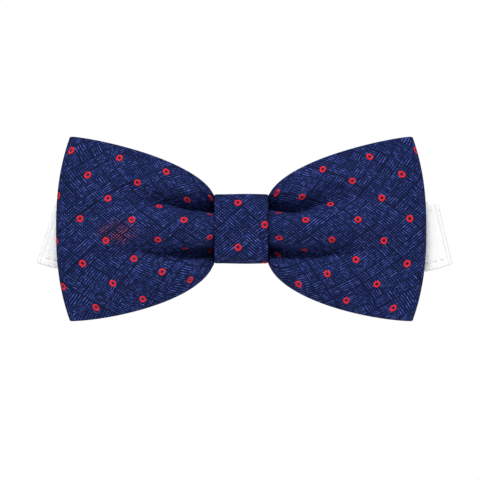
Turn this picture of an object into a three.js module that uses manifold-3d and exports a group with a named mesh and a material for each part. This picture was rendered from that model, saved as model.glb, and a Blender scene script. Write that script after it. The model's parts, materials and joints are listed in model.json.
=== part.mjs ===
// Pre-tied bow tie on a folded neckband with a hook, an eye ring and a slide adjuster.
// Millimetres. +X is the viewer's right, +Z is up and the front faces -Y.
// The origin is the middle of the knot's flat back, which rests on the shirt collar.
import * as THREE from "three";
import { mergeVertices } from "three/addons/utils/BufferGeometryUtils.js";
import Module from "manifold-3d";

const wasm = await Module();
wasm.setup();

// ---------------------------------------------------------------- driving dimensions
const CLEARANCE = 0.3; // free gap between pieces that touch

// Bow: one strip folded into a flat loop, pinched to the waist in the middle.
const BOW_WIDTH = 119.6; // fold to fold at mid height
const WING_HEIGHT = 60; // at the wing tips
const TIP_SETBACK = 4.6; // how far the corners sit inside the bulge of the end folds
const WAIST_HEIGHT = 17; // gathered cloth inside the knot
const WAIST_RIM = 2.6; // half thickness of the waist at its top and bottom edges
const WAIST_CROWN_FRONT = 2.4;
const WAIST_CROWN_BACK = 1.4;
const END_RIM = 1.3; // half thickness of the end folds at the corners
const END_CROWN = 1.4;
const PUFF_FRONT = 3; // extra swell of the wings between waist and end fold
const PUFF_BACK = 0.8;
const CREASE_DEPTH = 2.2;
const CREASE_WIDTH = 0.14; // share of the half height
const CREASE_REACH = 0.75; // share of the wing length where a crease has faded out
const FABRIC = 0.8; // outer cloth of the strip
const INTERLINING = 0.5;

// Knot
const KNOT_WIDTH = 17.3;
const KNOT_BAND = 1.4; // wrapped cloth, folded double
const KNOT_CORNER = 3;
const PADDING = 1;
const THREAD = 0.7; // gathering thread
const THREAD_SPAN = 2.4; // turns lie side by side over this width
const STITCH_RADIUS = 0.25;
const STITCH_PITCH = 1.6;
const SEAM_ANGLE = 35; // round the corner, down from straight back

// Neckband
const STRAP = 0.8; // thickness
const STRAP_WIDTH = 20.8;
const OUTER_GAP = 0.6; // between the layers that meet at the outer folds
const INNER_GAP = 1.8; // between the layers that meet at the inner folds
const INNER_FOLD_X = 12.6;
const END_RUN_Z = -1.5; // middle height of the end runs
const LEFT = { side: -1, foldX: 61.9, foldZ: -0.9, lean: 17.8, slope: 19, outerLength: 22 };
const RIGHT = { side: 1, foldX: 65, foldZ: -1.2, lean: 13.4, slope: 21, outerLength: 21.6 };

// Metal fittings
const METAL = 1; // plate thickness
const BAR = 1.8; // width of the bars that the strap loops round
const HOOK_BAR_X = 48;
const HOOK_REACH = 10;
const EYE_BAR_X = 49;
const EYE_WINDOW = 6.3;
const RAIL = 1.6; // side and end rails of the plates
const ADJUSTER_X = 33;
const ADJUSTER_LENGTH = 9;
const ADJUSTER_WALL = 0.8;
const ADJUSTER_SLOT = 2.6;
const ADJUSTER_TRAVEL = 13;
const LEG = 2; // straight cloth beside a turn
const LEFT_RETURN = 9; // doubled cloth behind the hook's loop
const TACK = 1.2;
const RUN_GAP = 0.4; // between the right end run and the return run's sewn leg

// ---------------------------------------------------------------- places worked out from them
const WAIST_HALF = WAIST_HEIGHT / 2;
const WING_HALF = WING_HEIGHT / 2;
const KNOT_HALF = KNOT_WIDTH / 2;
const TIP_X = BOW_WIDTH / 2 - TIP_SETBACK;
const FLARE_X = KNOT_HALF + CLEARANCE; // the wings widen from here
const THREAD_ROOM = THREAD + 2 * CLEARANCE;
const KNOT_INNER_HALF = WAIST_HALF + THREAD_ROOM;
const KNOT_OUTER_HALF = KNOT_INNER_HALF + KNOT_BAND;
const OUTER_PITCH = STRAP + OUTER_GAP;
const INNER_PITCH = STRAP + INNER_GAP;
const LAYER_A = -(KNOT_BAND + CLEARANCE + STRAP / 2);
const LAYER_B = LAYER_A + OUTER_PITCH;
const LAYER_C = LAYER_B + INNER_PITCH;
const BOW_MID = LAYER_A - STRAP / 2 - THREAD_ROOM - WAIST_RIM - WAIST_CROWN_BACK;
const WAIST_FRONT = BOW_MID - WAIST_RIM - WAIST_CROWN_FRONT;
const PADDING_BACK = WAIST_FRONT - THREAD_ROOM;
const KNOT_INNER_FRONT = PADDING_BACK - PADDING - CLEARANCE;
const KNOT_FRONT = KNOT_INNER_FRONT - KNOT_BAND;
const OUTER_FOLD_Y = (LAYER_A + LAYER_B) / 2;
const OUTER_FOLD_RADIUS = (OUTER_PITCH + STRAP) / 2;
const INNER_FOLD_Y = (LAYER_B + LAYER_C) / 2;
const INNER_FOLD_RADIUS = (INNER_PITCH + STRAP) / 2;
// Middle of the strap where it turns round a square bar, and round a plate's wider bar.
const WRAP_RADIUS = Math.hypot(METAL, METAL) / 2 + CLEARANCE + STRAP / 2;
const LOOP_RADIUS = Math.max(
  Math.hypot(BAR, METAL) / 2 + CLEARANCE + STRAP / 2,
  WRAP_RADIUS + (STRAP + RUN_GAP) / 2,
);
const BAR_Y = LAYER_C + LOOP_RADIUS;
const RETURN_Y = BAR_Y + LOOP_RADIUS;
const PLATE_HALF = STRAP_WIDTH / 2 + CLEARANCE + RAIL;
const WINDOW_HALF = STRAP_WIDTH / 2 + CLEARANCE;
const DEGREES = Math.PI / 180;

const mix = (a, b, t) => a + (b - a) * t;
const clamp01 = (t) => Math.min(1, Math.max(0, t));
const smooth = (t) => clamp01(t) ** 2 * (3 - 2 * clamp01(t));

// ---------------------------------------------------------------- materials
const navyCloth = new THREE.MeshStandardMaterial({ color: 0x1c2a63, roughness: 0.8 });
const canvasCloth = new THREE.MeshStandardMaterial({ color: 0xd9d6cc, roughness: 0.95 });
const whiteCloth = new THREE.MeshStandardMaterial({ color: 0xeceded, roughness: 0.85 });
const navyThread = new THREE.MeshStandardMaterial({ color: 0x141d4a, roughness: 0.7 });
const whiteThread = new THREE.MeshStandardMaterial({ color: 0xf4f4f2, roughness: 0.7 });
const nickel = new THREE.MeshStandardMaterial({ color: 0xc9ccd0, roughness: 0.3, metalness: 1 });

// ---------------------------------------------------------------- helpers
const tie = new THREE.Group();

function addPiece(name, geometry, material) {
  const mesh = new THREE.Mesh(geometry, material);
  mesh.name = name;
  tie.add(mesh);
  return mesh;
}

function toSolid(geometry) {
  const bare = geometry.clone();
  bare.deleteAttribute("normal");
  bare.deleteAttribute("uv");
  const merged = mergeVertices(bare, 1e-4);
  return new wasm.Manifold(
    new wasm.Mesh({
      numProp: 3,
      vertProperties: merged.attributes.position.array,
      triVerts: new Uint32Array(merged.index.array),
    }),
  );
}

function toGeometry(solid) {
  const mesh = solid.getMesh();
  const geometry = new THREE.BufferGeometry();
  geometry.setAttribute("position", new THREE.BufferAttribute(mesh.vertProperties, 3));
  geometry.setIndex(new THREE.BufferAttribute(mesh.triVerts, 1));
  return geometry;
}

function box(low, high) {
  const size = high.map((h, i) => h - low[i]);
  const middle = high.map((h, i) => (h + low[i]) / 2);
  return new THREE.BoxGeometry(...size).translate(...middle);
}

// A box on one side of the middle: x runs outwards from the knot.
function sideBox(side, low, high) {
  const xs = [side * low[0], side * high[0]].sort((a, b) => a - b);
  return box([xs[0], low[1], low[2]], [xs[1], high[1], high[2]]);
}

function roundedRectangle(shape, x0, y0, x1, y1, r) {
  shape.moveTo(x0 + r, y0);
  shape.lineTo(x1 - r, y0);
  shape.absarc(x1 - r, y0 + r, r, -Math.PI / 2, 0);
  shape.lineTo(x1, y1 - r);
  shape.absarc(x1 - r, y1 - r, r, 0, Math.PI / 2);
  shape.lineTo(x0 + r, y1);
  shape.absarc(x0 + r, y1 - r, r, Math.PI / 2, Math.PI);
  shape.lineTo(x0, y0 + r);
  shape.absarc(x0 + r, y0 + r, r, Math.PI, 1.5 * Math.PI);
  return shape;
}

function extrude(shape, depth, curveSegments = 5) {
  return new THREE.ExtrudeGeometry(shape, { depth, bevelEnabled: false, curveSegments });
}

// A shape drawn in (x, z), given thickness in y.
function plateXZ(shape, yMiddle, thickness) {
  return extrude(shape, thickness).rotateX(Math.PI / 2).translate(0, yMiddle + thickness / 2, 0);
}

// A shape drawn in (y, z), given length in x.
function ringYZ(shape, length) {
  const turn = new THREE.Matrix4().makeBasis(
    new THREE.Vector3(0, 1, 0),
    new THREE.Vector3(0, 0, 1),
    new THREE.Vector3(1, 0, 0),
  );
  return extrude(shape, length).applyMatrix4(turn).translate(-length / 2, 0, 0);
}

// A shape drawn in (x, y), as wide in z as the strap.
function strapXY(shape, halfWidth = STRAP_WIDTH / 2) {
  return extrude(shape, 2 * halfWidth, 8).translate(0, 0, END_RUN_Z - halfWidth);
}

// ---------------------------------------------------------------- bow
const wingShare = (x) => clamp01((Math.abs(x) - FLARE_X) / (TIP_X - FLARE_X));

// Half height of the wing at x: it leaves the waist steeply and levels off at the tips.
function halfHeight(x) {
  const s = wingShare(x);
  return WAIST_HALF + (WING_HALF - WAIST_HALF) * Math.sqrt(1 - (1 - s) ** 1.6);
}

// Two creases leave the knot and split the waist into three puffs; v runs from -1 to 1 up the wing.
function crease(s, v) {
  const line = v > 0 ? 0.52 - 0.08 * s : 0.52 - 0.3 * s;
  const width = CREASE_WIDTH * (1 + s);
  return (1 - smooth(s / CREASE_REACH)) * Math.exp(-(((Math.abs(v) - line) / width) ** 2));
}

function depthOf(x, v, crown, puff, creaseDepth) {
  const s = wingShare(x);
  const rim = mix(WAIST_RIM, END_RIM, s);
  const dome = mix(crown, END_CROWN, s) * Math.sqrt(1 - v * v);
  const swell = puff * Math.sin(Math.PI * Math.sqrt(s)) * (1 - v * v);
  return rim + dome + swell - creaseDepth * crease(s, v);
}

const frontDepth = (x, v) => depthOf(x, v, WAIST_CROWN_FRONT, PUFF_FRONT, CREASE_DEPTH);
const backDepth = (x, v) => depthOf(x, v, WAIST_CROWN_BACK, PUFF_BACK, 0);

// Spreads c, from -1 to 1, over the flat stretch so that a column falls where the wings start.
function flatX(c, flatEnd) {
  const WAIST_SHARE = 0.2;
  const size = Math.abs(c);
  if (size <= WAIST_SHARE) return (c / WAIST_SHARE) * FLARE_X;
  const w = (size - WAIST_SHARE) / (1 - WAIST_SHARE);
  return Math.sign(c) * mix(FLARE_X, flatEnd, w ** 1.5);
}

// One point of the flattened loop, inset below its outer surface.
// turn runs from 0 to 4: front, fold at +X, back, fold at -X.
function loopPoint(turn, v, inset) {
  const foldHalf = END_RIM + END_CROWN * Math.sqrt(1 - v * v);
  const flatEnd = BOW_WIDTH / 2 - TIP_SETBACK * Math.abs(v) ** 2.4 - foldHalf;
  const quarter = Math.floor(turn) % 4;
  const t = turn - Math.floor(turn);
  if (quarter % 2 === 1) {
    const side = quarter === 1 ? 1 : -1;
    const angle = (t - 0.5) * Math.PI;
    const x = side * (flatEnd + (foldHalf - inset) * Math.cos(angle));
    return [x, BOW_MID + side * (foldHalf - inset) * Math.sin(angle), v * halfHeight(x)];
  }
  const front = quarter === 0;
  const x = flatX(front ? 2 * t - 1 : 1 - 2 * t, flatEnd);
  const blend = smooth((Math.abs(x) - 0.8 * flatEnd) / (0.2 * flatEnd));
  const depth = mix(front ? frontDepth(x, v) : backDepth(x, v), foldHalf, blend) - inset;
  return [x, front ? BOW_MID - depth : BOW_MID + depth, v * halfHeight(x)];
}

// A closed band of cloth round the loop: outer skin, inner skin and the two long rims.
// hemRows is how many rows it stops short of each long edge.
function loopBand(inset, thickness, hemRows) {
  const FLAT_STEPS = 30;
  const FOLD_STEPS = 4;
  const GRID_ROWS = 14;
  const ROWS = GRID_ROWS - 2 * hemRows;
  const turns = [];
  for (let quarter = 0; quarter < 4; quarter += 1) {
    const steps = quarter % 2 ? FOLD_STEPS : FLAT_STEPS;
    for (let i = 0; i < steps; i += 1) turns.push(quarter + i / steps);
  }
  const points = [];
  for (const layer of [inset, inset + thickness]) {
    for (const turn of turns) {
      for (let r = 0; r <= ROWS; r += 1) {
        points.push(...loopPoint(turn, (2 * (r + hemRows)) / GRID_ROWS - 1, layer));
      }
    }
  }
  const columns = turns.length;
  const at = (layer, c, r) => (layer * columns + (c % columns)) * (ROWS + 1) + r;
  const index = [];
  const quad = (a, b, c, d) => index.push(a, b, c, a, c, d);
  for (let c = 0; c < columns; c += 1) {
    for (let r = 0; r < ROWS; r += 1) {
      quad(at(0, c, r), at(0, c + 1, r), at(0, c + 1, r + 1), at(0, c, r + 1));
      quad(at(1, c, r), at(1, c, r + 1), at(1, c + 1, r + 1), at(1, c + 1, r));
    }
    quad(at(0, c, 0), at(1, c, 0), at(1, c + 1, 0), at(0, c + 1, 0));
    quad(at(0, c, ROWS), at(0, c + 1, ROWS), at(1, c + 1, ROWS), at(1, c, ROWS));
  }
  const geometry = new THREE.BufferGeometry();
  geometry.setAttribute("position", new THREE.Float32BufferAttribute(points, 3));
  geometry.setIndex(index);
  return geometry;
}

function buildBow() {
  addPiece("bow_strip", loopBand(0, FABRIC, 0), navyCloth);
  addPiece("bow_interlining", loopBand(FABRIC + CLEARANCE, INTERLINING, 1), canvasCloth);
}

// ---------------------------------------------------------------- knot
// A rounded frame in the (y, z) plane between an inner and an outer rectangle.
function frameYZ(front, back, halfZ, wall, corner) {
  const shape = roundedRectangle(
    new THREE.Shape(), front - wall, -halfZ - wall, back + wall, halfZ + wall, corner,
  );
  const inner = Math.max(corner - wall, 0.3);
  shape.holes.push(roundedRectangle(new THREE.Path(), front, -halfZ, back, halfZ, inner));
  return shape;
}

function buildKnot() {
  const band = frameYZ(KNOT_INNER_FRONT, -KNOT_BAND, KNOT_INNER_HALF, KNOT_BAND, KNOT_CORNER);
  addPiece("knot_band", ringYZ(band, KNOT_WIDTH), navyCloth);

  const threadFront = WAIST_FRONT - CLEARANCE;
  const threadBack = LAYER_A - STRAP / 2 - CLEARANCE - THREAD;
  const thread = frameYZ(threadFront, threadBack, WAIST_HALF + CLEARANCE, THREAD, 2 * THREAD);
  addPiece("gather_thread", ringYZ(thread, THREAD_SPAN), navyThread);

  const padHalf = KNOT_INNER_HALF - CLEARANCE - KNOT_CORNER / 2;
  const pad = roundedRectangle(
    new THREE.Shape(), -KNOT_HALF + 1, -padHalf, KNOT_HALF - 1, padHalf, 2,
  );
  addPiece("knot_padding", plateXZ(pad, PADDING_BACK - PADDING / 2, PADDING), canvasCloth);

  // The seam runs along the lower back corner, clear of the flat back.
  const count = Math.floor((KNOT_WIDTH - 2) / STITCH_PITCH);
  const angle = -SEAM_ANGLE * DEGREES;
  const out = new THREE.Vector3(0, Math.cos(angle), Math.sin(angle));
  const round = new THREE.Vector3(0, -Math.sin(angle), Math.cos(angle));
  const corner = new THREE.Vector3(0, -KNOT_CORNER, KNOT_CORNER - KNOT_OUTER_HALF);
  const seam = [];
  for (let i = 0; i <= count; i += 1) {
    const point = corner.clone().addScaledVector(out, KNOT_CORNER + CLEARANCE + STITCH_RADIUS);
    point.addScaledVector(round, ((i % 2) - 0.5) * STITCH_PITCH);
    point.x = (i - count / 2) * STITCH_PITCH;
    seam.push(point);
  }
  const path = new THREE.CurvePath();
  for (let i = 0; i < count; i += 1) path.add(new THREE.LineCurve3(seam[i], seam[i + 1]));
  const thin = new THREE.Shape().absarc(0, 0, STITCH_RADIUS, 0, 2 * Math.PI);
  const line = new THREE.ExtrudeGeometry(thin, {
    steps: 3 * count, extrudePath: path, curveSegments: 3, bevelEnabled: false,
  });
  addPiece("knot_stitches", line, navyThread);
}

// ---------------------------------------------------------------- neckband
// Height of a strap's middle line: from (x0, z0), level, to (x1, z1) with a given slope.
function middleLine(x, x0, z0, x1, z1, slope) {
  const t = clamp01((x - x0) / (x1 - x0));
  const span = x1 - x0;
  return mix(z0, z1, t * t * (3 - 2 * t)) + (t ** 3 - t ** 2) * slope * span;
}

// Ribs across the strap turn from upright at the middle to parallel with the outer fold.
function strapOutline(stations) {
  const top = stations.map((s) => [s.x - s.half * Math.sin(s.lean), s.z + s.half * Math.cos(s.lean)]);
  const low = stations.map((s) => [s.x + s.half * Math.sin(s.lean), s.z - s.half * Math.cos(s.lean)]);
  return new THREE.Shape([...top, ...low.reverse()].map(([x, z]) => new THREE.Vector2(x, z)));
}

// Stations of one run from x0 to the outer fold, on one side.
function runStations(end, x0, z0, slope, halfAt) {
  const STEPS = 10;
  const lean = end.lean * DEGREES;
  const x1 = end.foldX - (OUTER_FOLD_RADIUS + CLEARANCE) / Math.cos(lean);
  const stations = [];
  for (let i = 0; i <= STEPS; i += 1) {
    const x = mix(x0, x1, i / STEPS);
    const z = middleLine(x, x0, z0, end.foldX, end.foldZ, Math.tan(slope * DEGREES));
    const share = smooth((x - x0) / (x1 - x0));
    stations.push({ x: end.side * x, z, lean: end.side * lean * share, half: halfAt(x, share) });
  }
  return stations;
}

function neckbandCentre() {
  const pinch = KNOT_INNER_HALF - Math.max(CLEARANCE, KNOT_CORNER - KNOT_BAND);
  const start = KNOT_HALF + 1;
  const halves = [LEFT, RIGHT].map((end) =>
    runStations(end, start, 0, end.slope, (x, share) =>
      mix(pinch, end.outerLength / 2, smooth(4 * share)),
    ),
  );
  const outline = strapOutline([...halves[0].reverse(), ...halves[1]]);
  addPiece("neckband_centre", plateXZ(outline, LAYER_A, STRAP), whiteCloth);
}

function foldBead(name, x, y, z, lean, radius, length) {
  const bead = new THREE.CylinderGeometry(radius, radius, length, 16);
  bead.rotateX(Math.PI / 2).rotateY(-lean);
  addPiece(name, bead.translate(x, y, z), whiteCloth);
}

function foldedRuns(end, prefix) {
  const lean = end.side * end.lean * DEGREES;
  foldBead(
    prefix + "_outer_fold", end.side * end.foldX, OUTER_FOLD_Y, end.foldZ, lean,
    OUTER_FOLD_RADIUS, end.outerLength,
  );
  const start = INNER_FOLD_X + INNER_FOLD_RADIUS + CLEARANCE;
  const stations = runStations(end, start, END_RUN_Z, 2 * end.lean - end.slope, (x, share) =>
    mix(STRAP_WIDTH / 2, end.outerLength / 2, share),
  );
  addPiece(prefix + "_middle_run", plateXZ(strapOutline(stations), LAYER_B, STRAP), whiteCloth);
  foldBead(
    prefix + "_inner_fold", end.side * INNER_FOLD_X, INNER_FOLD_Y, END_RUN_Z, 0,
    INNER_FOLD_RADIUS, STRAP_WIDTH,
  );
}

// Profile of a strap that turns round a bar at x: front leg, half circle, back leg.
// out is +1 where the turn bulges away from the knot, and -1 where it bulges towards it.
function turnProfile(side, x, y, radius, out, frontEnd, backEnd) {
  const points = [];
  const outer = radius + STRAP / 2;
  const inner = radius - STRAP / 2;
  const arc = (r, from, to) => {
    const STEPS = 8;
    for (let i = 0; i <= STEPS; i += 1) {
      const angle = mix(from, to, i / STEPS) * DEGREES;
      points.push([x + out * r * Math.cos(angle), y + r * Math.sin(angle)]);
    }
  };
  points.push([frontEnd, y - outer]);
  arc(outer, -90, 90);
  points.push([backEnd, y + outer], [backEnd, y + inner]);
  arc(inner, 90, -90);
  points.push([frontEnd, y - inner]);
  return new THREE.Shape(points.map(([px, py]) => new THREE.Vector2(side * px, py)));
}

const END_RUN_START = INNER_FOLD_X + INNER_FOLD_RADIUS + CLEARANCE;

function leftEnd() {
  const returnEnd = HOOK_BAR_X - LEFT_RETURN;
  const run = turnProfile(-1, HOOK_BAR_X, BAR_Y, LOOP_RADIUS, 1, END_RUN_START, returnEnd);
  addPiece("left_end_run", strapXY(run), whiteCloth);
  const tackHalf = STRAP_WIDTH / 2 - 2;
  const inner = STRAP / 2 + CLEARANCE;
  addPiece(
    "left_end_tack",
    sideBox(
      -1,
      [returnEnd + 1, LAYER_C + inner, END_RUN_Z - tackHalf],
      [returnEnd + 1 + TACK, RETURN_Y - inner, END_RUN_Z + tackHalf],
    ),
    whiteThread,
  );
}

function rightEnd() {
  const eyeTravel = ADJUSTER_TRAVEL / 2;
  const legEnd = EYE_BAR_X - LEG;
  const runEnd = legEnd - eyeTravel - CLEARANCE;
  const half = STRAP_WIDTH / 2;
  addPiece(
    "right_end_run",
    box(
      [END_RUN_START, LAYER_C - STRAP / 2, END_RUN_Z - half],
      [runEnd, LAYER_C + STRAP / 2, END_RUN_Z + half],
    ),
    whiteCloth,
  );
  addPiece(
    "eye_loop",
    strapXY(turnProfile(1, EYE_BAR_X, BAR_Y, LOOP_RADIUS, 1, legEnd, legEnd)),
    whiteCloth,
  );
}

// ---------------------------------------------------------------- metal fittings
// The adjuster is a flat sleeve round the end run, with three bars across its back.
const SLEEVE_BACK = RETURN_Y - WRAP_RADIUS + METAL / 2;

function buildAdjuster() {
  const half = ADJUSTER_LENGTH / 2;
  const front = LAYER_C - STRAP / 2 - CLEARANCE - ADJUSTER_WALL;
  const rim = WINDOW_HALF + ADJUSTER_WALL;
  const PAST = 1;
  let sleeve = toSolid(
    box([-half, front, -rim], [half, SLEEVE_BACK, rim]),
  );
  const channelFront = front + ADJUSTER_WALL;
  const channelBack = SLEEVE_BACK - METAL;
  const cuts = [
    box([-half - PAST, channelFront, -WINDOW_HALF], [half + PAST, channelBack, WINDOW_HALF]),
  ];
  for (const side of [-1, 1]) {
    const low = [METAL / 2, channelBack - PAST, -WINDOW_HALF];
    const high = [METAL / 2 + ADJUSTER_SLOT, SLEEVE_BACK + PAST, WINDOW_HALF];
    cuts.push(sideBox(side, low, high));
  }
  for (const cut of cuts) sleeve = sleeve.subtract(toSolid(cut));
  addPiece("slide_adjuster", toGeometry(sleeve).translate(ADJUSTER_X, 0, END_RUN_Z), nickel);
}

// The strap comes back from the eye, turns round the adjuster's middle bar and is sewn to itself.
function buildReturnRun() {
  const barY = RETURN_Y - WRAP_RADIUS;
  const backEnd = EYE_BAR_X - LEG - CLEARANCE;
  const frontEnd = ADJUSTER_X + ADJUSTER_LENGTH / 2 + 3.5;
  const run = turnProfile(1, ADJUSTER_X, barY, WRAP_RADIUS, -1, frontEnd, backEnd);
  addPiece("right_return_run", strapXY(run), whiteCloth);
  const tackHalf = STRAP_WIDTH / 2 - 2;
  const gap = WRAP_RADIUS - STRAP / 2 - CLEARANCE / 2;
  addPiece(
    "return_tack",
    box(
      [frontEnd - 1 - TACK, barY - gap, END_RUN_Z - tackHalf],
      [frontEnd - 1, barY + gap, END_RUN_Z + tackHalf],
    ),
    whiteThread,
  );
}

// A flat plate whose inner bar lies in the strap's loop, with one window beside the bar.
function barPlate(side, barX, window, reach) {
  const shape = new THREE.Shape();
  const xs = [side * (barX - BAR / 2), side * (barX + reach)].sort((a, b) => a - b);
  const low = END_RUN_Z - PLATE_HALF;
  const high = END_RUN_Z + PLATE_HALF;
  roundedRectangle(shape, xs[0], low, xs[1], high, 0.8);
  const hole = [side * (barX + BAR / 2), side * (barX + BAR / 2 + window)].sort((a, b) => a - b);
  shape.holes.push(
    roundedRectangle(
      new THREE.Path(), hole[0], END_RUN_Z - WINDOW_HALF, hole[1], END_RUN_Z + WINDOW_HALF, 0.5,
    ),
  );
  return plateXZ(shape, BAR_Y, METAL);
}

function buildHook() {
  const HOOK_WINDOW = 2.8;
  const HOOK_WIDTH = 8;
  const GAP = 1.5; // room for the eye's far rail
  const reach = BAR / 2 + HOOK_WINDOW + RAIL;
  const plate = toSolid(barPlate(-1, HOOK_BAR_X, HOOK_WINDOW, reach));
  const root = HOOK_BAR_X + reach - 0.4;
  const bend = HOOK_BAR_X + HOOK_REACH - METAL - GAP / 2;
  const radius = GAP / 2 + METAL / 2;
  const points = [[root, BAR_Y - METAL / 2]];
  const arc = (r, from, to) => {
    for (let i = 0; i <= 8; i += 1) {
      const angle = mix(from, to, i / 8) * DEGREES;
      points.push([bend + r * Math.cos(angle), BAR_Y + radius + r * Math.sin(angle)]);
    }
  };
  arc(radius + METAL / 2, -90, 90);
  points.push([root + 0.6, BAR_Y + 2 * radius + METAL / 2]);
  points.push([root + 0.6, BAR_Y + 2 * radius - METAL / 2]);
  arc(radius - METAL / 2, 90, -90);
  points.push([root, BAR_Y + METAL / 2]);
  const shape = new THREE.Shape(points.map(([x, y]) => new THREE.Vector2(-x, y)));
  const tongue = toSolid(strapXY(shape, HOOK_WIDTH / 2));
  addPiece("hook", toGeometry(plate.add(tongue)), nickel);
}

function buildEyeRing() {
  const reach = BAR / 2 + EYE_WINDOW + RAIL;
  addPiece("eye_ring", barPlate(1, EYE_BAR_X, EYE_WINDOW, reach), nickel);
}

buildBow();
buildKnot();
neckbandCentre();
foldedRuns(LEFT, "left");
foldedRuns(RIGHT, "right");
leftEnd();
rightEnd();
buildAdjuster();
buildReturnRun();
buildHook();
buildEyeRing();

export default tie;
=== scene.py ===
import json
import math

import bpy
import numpy as np
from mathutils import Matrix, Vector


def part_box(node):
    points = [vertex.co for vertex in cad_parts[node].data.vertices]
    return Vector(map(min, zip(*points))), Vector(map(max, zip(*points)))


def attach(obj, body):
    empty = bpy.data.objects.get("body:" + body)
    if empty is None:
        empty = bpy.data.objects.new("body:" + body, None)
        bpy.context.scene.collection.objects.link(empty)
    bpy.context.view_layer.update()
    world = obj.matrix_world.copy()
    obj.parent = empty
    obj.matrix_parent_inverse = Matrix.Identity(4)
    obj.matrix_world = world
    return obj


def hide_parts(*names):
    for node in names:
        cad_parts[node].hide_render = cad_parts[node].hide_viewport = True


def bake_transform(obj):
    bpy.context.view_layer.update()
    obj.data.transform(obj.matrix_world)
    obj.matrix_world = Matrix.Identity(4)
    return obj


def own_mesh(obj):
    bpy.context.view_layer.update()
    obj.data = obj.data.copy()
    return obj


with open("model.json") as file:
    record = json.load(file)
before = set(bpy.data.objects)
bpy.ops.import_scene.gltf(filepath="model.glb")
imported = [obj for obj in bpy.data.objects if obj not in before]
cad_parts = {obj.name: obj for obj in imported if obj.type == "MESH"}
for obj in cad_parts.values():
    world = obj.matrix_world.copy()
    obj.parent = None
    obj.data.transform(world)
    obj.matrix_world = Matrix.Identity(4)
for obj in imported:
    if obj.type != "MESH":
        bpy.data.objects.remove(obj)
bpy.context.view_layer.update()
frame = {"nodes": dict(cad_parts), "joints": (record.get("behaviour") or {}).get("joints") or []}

# Lengths in this script are millimetres, and meshes are made in metres.
MM = 0.001


def box_mm(node):
    low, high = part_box(node)
    return np.array(low) / MM, np.array(high) / MM


# ---------------- sizes from the frame
BOW_HIGH = box_mm("bow_strip")[1]
KNOT_LOW, KNOT_HIGH = box_mm("knot_band")
WAIST_LOW, WAIST_HIGH = box_mm("gather_thread")
END_X = BOW_HIGH[0]
WING_HALF = BOW_HIGH[2]
KNOT_HALF = KNOT_HIGH[0]
KNOT_HALF_Z = KNOT_HIGH[2]

# ---------------- bow
TIP_SETBACK = 4.6  # how far a wing's corners lie inside the middle of its end
TIP_CURVE = 2.4  # power of the curve from that middle to the corners
END_RIM = 1.3  # half thickness of the loop at its ends: at the corners, and what the middle adds
END_CROWN = 1.4
WAIST_RIM = 2.6  # the same at the knot, front and back
WAIST_CROWN_FRONT = 2.4
WAIST_CROWN_BACK = 1.4
THREAD = 0.7  # thickness of the gathering thread's winding
CLEARANCE = 0.3
WAIST_HALF = WAIST_HIGH[2] - THREAD - CLEARANCE
BOW_MID = WAIST_LOW[1] + THREAD + CLEARANCE + WAIST_RIM + WAIST_CROWN_FRONT
CLOTH = 0.42  # thickness of the outer ply; the depths below are from its outer face
CANVAS_IN = 0.46  # the interlining lies between the cloth's two plies
CANVAS_OUT = 0.78
INNER_PLY_IN = 0.82
INNER_PLY_OUT = 1.2
INNER_SEAM = 0.012  # where the inner ply's two edges meet, as a share of the half width
CANVAS_INSET = 1.5  # from the cloth's long edges
NORMAL_PASSES = 10
TUCK = 4.0  # cloth drawn in under each side of the knot
FAN_UP = 2.5  # extra cloth taken by a wing's upper and lower edge, at the knot
FAN_DOWN = 2.4
STRIP_HALF_WIDTH = 30.0  # the folded tube of cloth is 60 mm wide
UPPER_CREASE = 5.8  # height of each crease at the knot
LOWER_CREASE = -5.8
CREASE_DEPTH = 7.0
CREASE_FLOOR = -0.7  # the front layer never comes nearer than this to the middle plane
FLARE_X = KNOT_HALF - 0.4
TIP_X = END_X - TIP_SETBACK
BOW_STEPS = (96, 40, 9)  # steps along half the front, half the back and an end fold
BOW_ROWS = 101
FINE_STEPS = 1201  # points that a cross-section is measured with
SETTLED_X = 14.0  # beyond this, rows move sideways to follow the wing's curved end


def mix(a, b, t):
    return a + (b - a) * t


def smooth(t):
    t = np.clip(t, 0, 1)
    return t * t * (3 - 2 * t)


def reach_along(line):
    """Length along a line of points, from its first."""
    steps = np.linalg.norm(np.diff(line, axis=0), axis=1)
    return np.concatenate([[0], np.cumsum(steps)])


def sampled(line, reach, at):
    """A line's values at other lengths along it."""
    return np.stack([np.interp(at, reach, column) for column in line.T], 1)


def wing_share(x):
    """Zero at the knot, one at the wing's tip."""
    return np.clip((np.abs(x) - FLARE_X) / (TIP_X - FLARE_X), 0, 1)


def half_height(x, low_side):
    """Half height of the wing at x: steep at the knot, level at the tips, a little fuller below."""
    s = wing_share(x)
    bend, rise = (1.6, 0.49) if low_side else (1.3, 0.515)
    return WAIST_HALF + (WING_HALF - WAIST_HALF) * (1 - (1 - s) ** bend) ** rise


def valley(away, inner, outer):
    """One at the bottom of a crease, steep where away is negative and gentle where it is positive."""
    width = np.where(away > 0, outer, inner)
    return np.exp(-np.abs(away / width) ** 1.3)


def soft_floor(depth, floor):
    """Depth held above a floor, with a rounded corner where it would go under."""
    above = depth - floor
    return floor + (above + np.sqrt(above * above + 0.5)) / 2


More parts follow.
